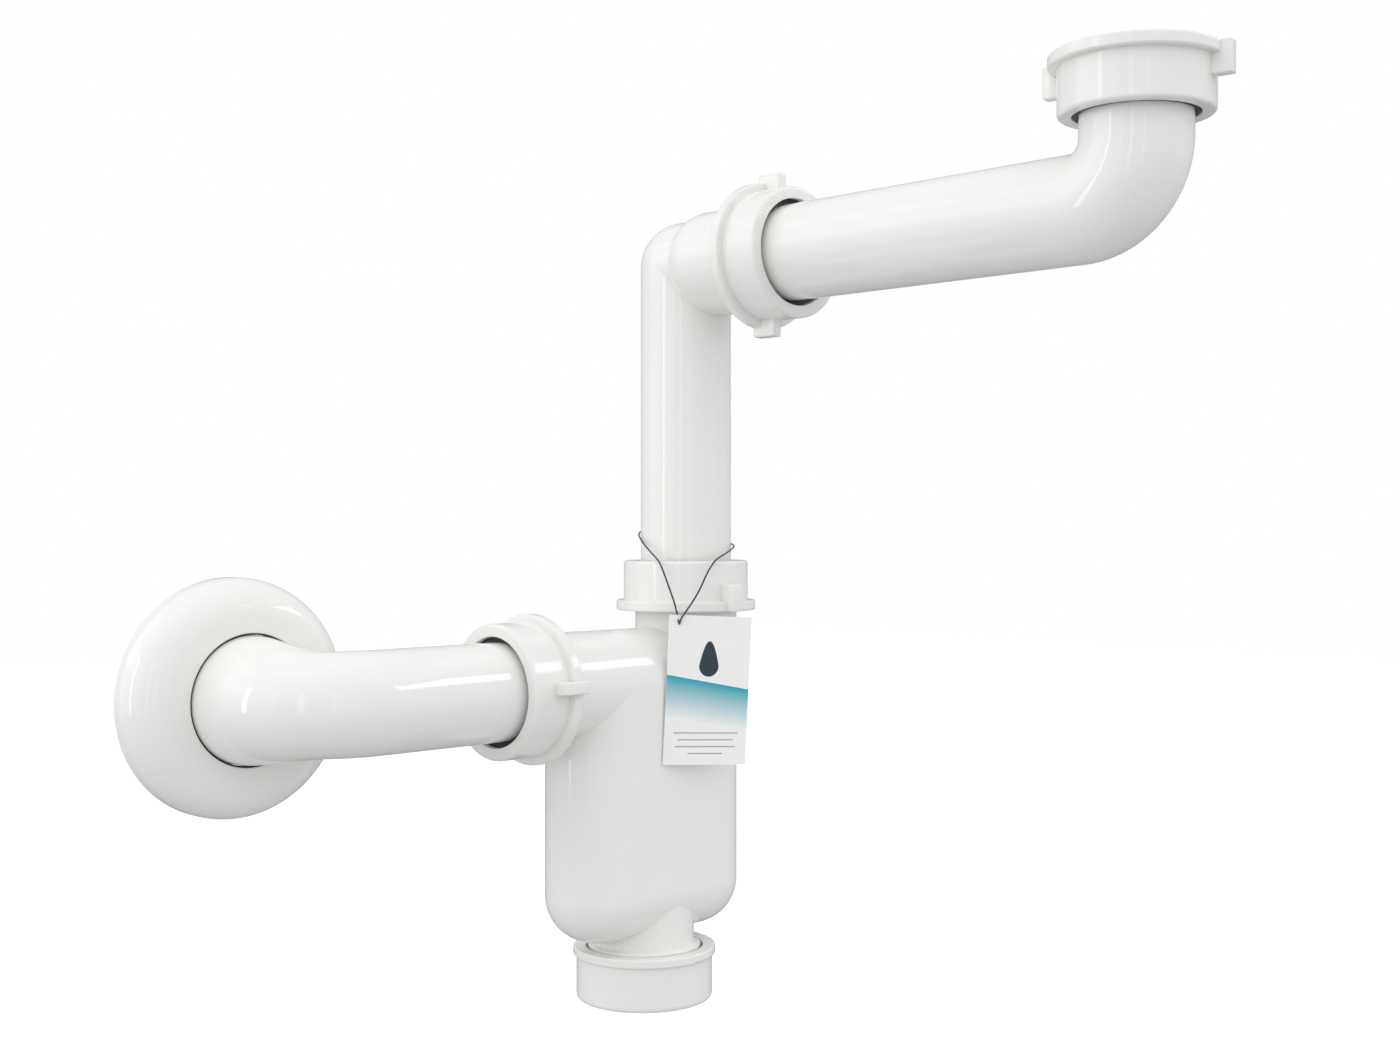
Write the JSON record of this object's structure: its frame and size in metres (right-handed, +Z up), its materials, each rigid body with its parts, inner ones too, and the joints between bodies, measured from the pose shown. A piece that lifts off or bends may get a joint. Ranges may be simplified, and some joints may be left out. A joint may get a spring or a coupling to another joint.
{
  "type": "space saving sink trap",
  "caption": "White plastic sink trap with a long swivelling arm, flat two-chamber body, cleanout cup, union nuts, wall pipe and rosette",
  "frame": {"origin": "centre of the sink union nut's open face", "axes": "+Z up along the sink's waste, +Y along the arm towards the riser and the wall, -X along the trap's outlet"},
  "size_m": [0.2701, 0.3599, 0.3701],
  "materials": {
    "white_moulding": "glossy moulded polypropylene",
    "white_nut": "glossy moulded polypropylene",
    "seal_rubber": "matt moulded rubber",
    "ring_plastic": "plain low-friction plastic",
    "tag_card": "smooth printed card",
    "string_thread": "dark twisted thread"
  },
  "bodies": {
    "inlet_bend": {"inlet_bend": "white_moulding", "sink_flat_seal": "seal_rubber", "sink_slip_ring": "ring_plastic"},
    "sink_nut": {"sink_union_nut": "white_nut"},
    "riser_seal": {"riser_cone_seal": "seal_rubber"},
    "riser": {"riser_bend": "white_moulding"},
    "riser_ring": {"riser_slip_ring": "ring_plastic"},
    "riser_nut": {"riser_union_nut": "white_nut"},
    "trap_inlet_seal": {"trap_inlet_cone_seal": "seal_rubber"},
    "trap": {"trap_body": "white_moulding"},
    "trap_inlet_ring": {"trap_inlet_slip_ring": "ring_plastic", "tag_string": "string_thread", "hang_tag": "tag_card"},
    "trap_inlet_nut": {"trap_inlet_union_nut": "white_nut"},
    "outlet_seal": {"trap_outlet_cone_seal": "seal_rubber"},
    "wall_pipe": {"wall_pipe": "white_moulding"},
    "outlet_ring": {"trap_outlet_slip_ring": "ring_plastic"},
    "outlet_nut": {"trap_outlet_union_nut": "white_nut"},
    "rosette": {"wall_rosette": "white_moulding"},
    "cleanout_seal": {"cleanout_seal": "seal_rubber"},
    "cup": {"cleanout_cup": "white_moulding"}
  },
  "joints": [
    {"name": "sink_nut_turn", "type": "hinge", "parent": "inlet_bend", "child": "sink_nut", "pos_m": [0, 0, 0], "axis": [0, 0, 1], "continuous": true},
    {"name": "arm_slide", "type": "slide", "parent": "inlet_bend", "child": "riser_seal", "axis": [0, 1, 0], "range_m": [-0.01, 0.021]},
    {"name": "riser_swivel", "type": "hinge", "parent": "riser_seal", "child": "riser", "pos_m": [0, 0.226, -0.0518], "axis": [0, 1, 0], "continuous": true},
    {"name": "riser_nut_travel", "type": "slide", "parent": "riser", "child": "riser_ring", "axis": [0, -1, 0], "range_m": [0, 0.0103]},
    {"name": "riser_nut_turn", "type": "hinge", "parent": "riser_ring", "child": "riser_nut", "pos_m": [0, 0.226, -0.0518], "axis": [0, -1, 0], "range_deg": [0, 1620]},
    {"name": "riser_slide", "type": "slide", "parent": "riser", "child": "trap_inlet_seal", "axis": [0, 0, 1], "range_m": [-0.025, 0.07]},
    {"name": "trap_swivel", "type": "hinge", "parent": "trap_inlet_seal", "child": "trap", "pos_m": [0, 0.226, -0.2329], "axis": [0, 0, 1], "continuous": true},
    {"name": "trap_inlet_nut_travel", "type": "slide", "parent": "trap", "child": "trap_inlet_ring", "axis": [0, 0, 1], "range_m": [0, 0.0103]},
    {"name": "trap_inlet_nut_turn", "type": "hinge", "parent": "trap_inlet_ring", "child": "trap_inlet_nut", "pos_m": [0, 0.226, -0.2329], "axis": [0, 0, 1], "range_deg": [0, 1620]},
    {"name": "wall_swivel", "type": "hinge", "parent": "trap", "child": "outlet_seal", "pos_m": [0, 0.226, -0.2329], "axis": [-1, 0, 0], "continuous": true},
    {"name": "wall_slide", "type": "slide", "parent": "outlet_seal", "child": "wall_pipe", "axis": [-1, 0, 0], "range_m": [-0.008, 0.008]},
    {"name": "trap_outlet_nut_travel", "type": "slide", "parent": "trap", "child": "outlet_ring", "axis": [-1, 0, 0], "range_m": [0, 0.0103]},
    {"name": "trap_outlet_nut_turn", "type": "hinge", "parent": "outlet_ring", "child": "outlet_nut", "pos_m": [0, 0.226, -0.2329], "axis": [-1, 0, 0], "range_deg": [0, 1620]},
    {"name": "rosette_slide", "type": "slide", "parent": "wall_pipe", "child": "rosette", "axis": [0, 1, 0], "range_m": [-0.012, 0.035]},
    {"name": "cup_travel", "type": "slide", "parent": "trap", "child": "cleanout_seal", "axis": [0, 0, -1], "range_m": [0, 0.0115]},
    {"name": "cup_turn", "type": "hinge", "parent": "cleanout_seal", "child": "cup", "pos_m": [-0.0253, 0.226, -0.34], "axis": [0, 0, -1], "range_deg": [0, 1800]}
  ],
  "couplings": [
    {"joint": "riser_nut_turn", "follows": "riser_nut_travel", "rad_per_m": 2721.2},
    {"joint": "trap_inlet_nut_turn", "follows": "trap_inlet_nut_travel", "rad_per_m": 2721.2},
    {"joint": "trap_outlet_nut_turn", "follows": "trap_outlet_nut_travel", "rad_per_m": 2721.2},
    {"joint": "cup_turn", "follows": "cup_travel", "rad_per_m": 2721.2}
  ]
}
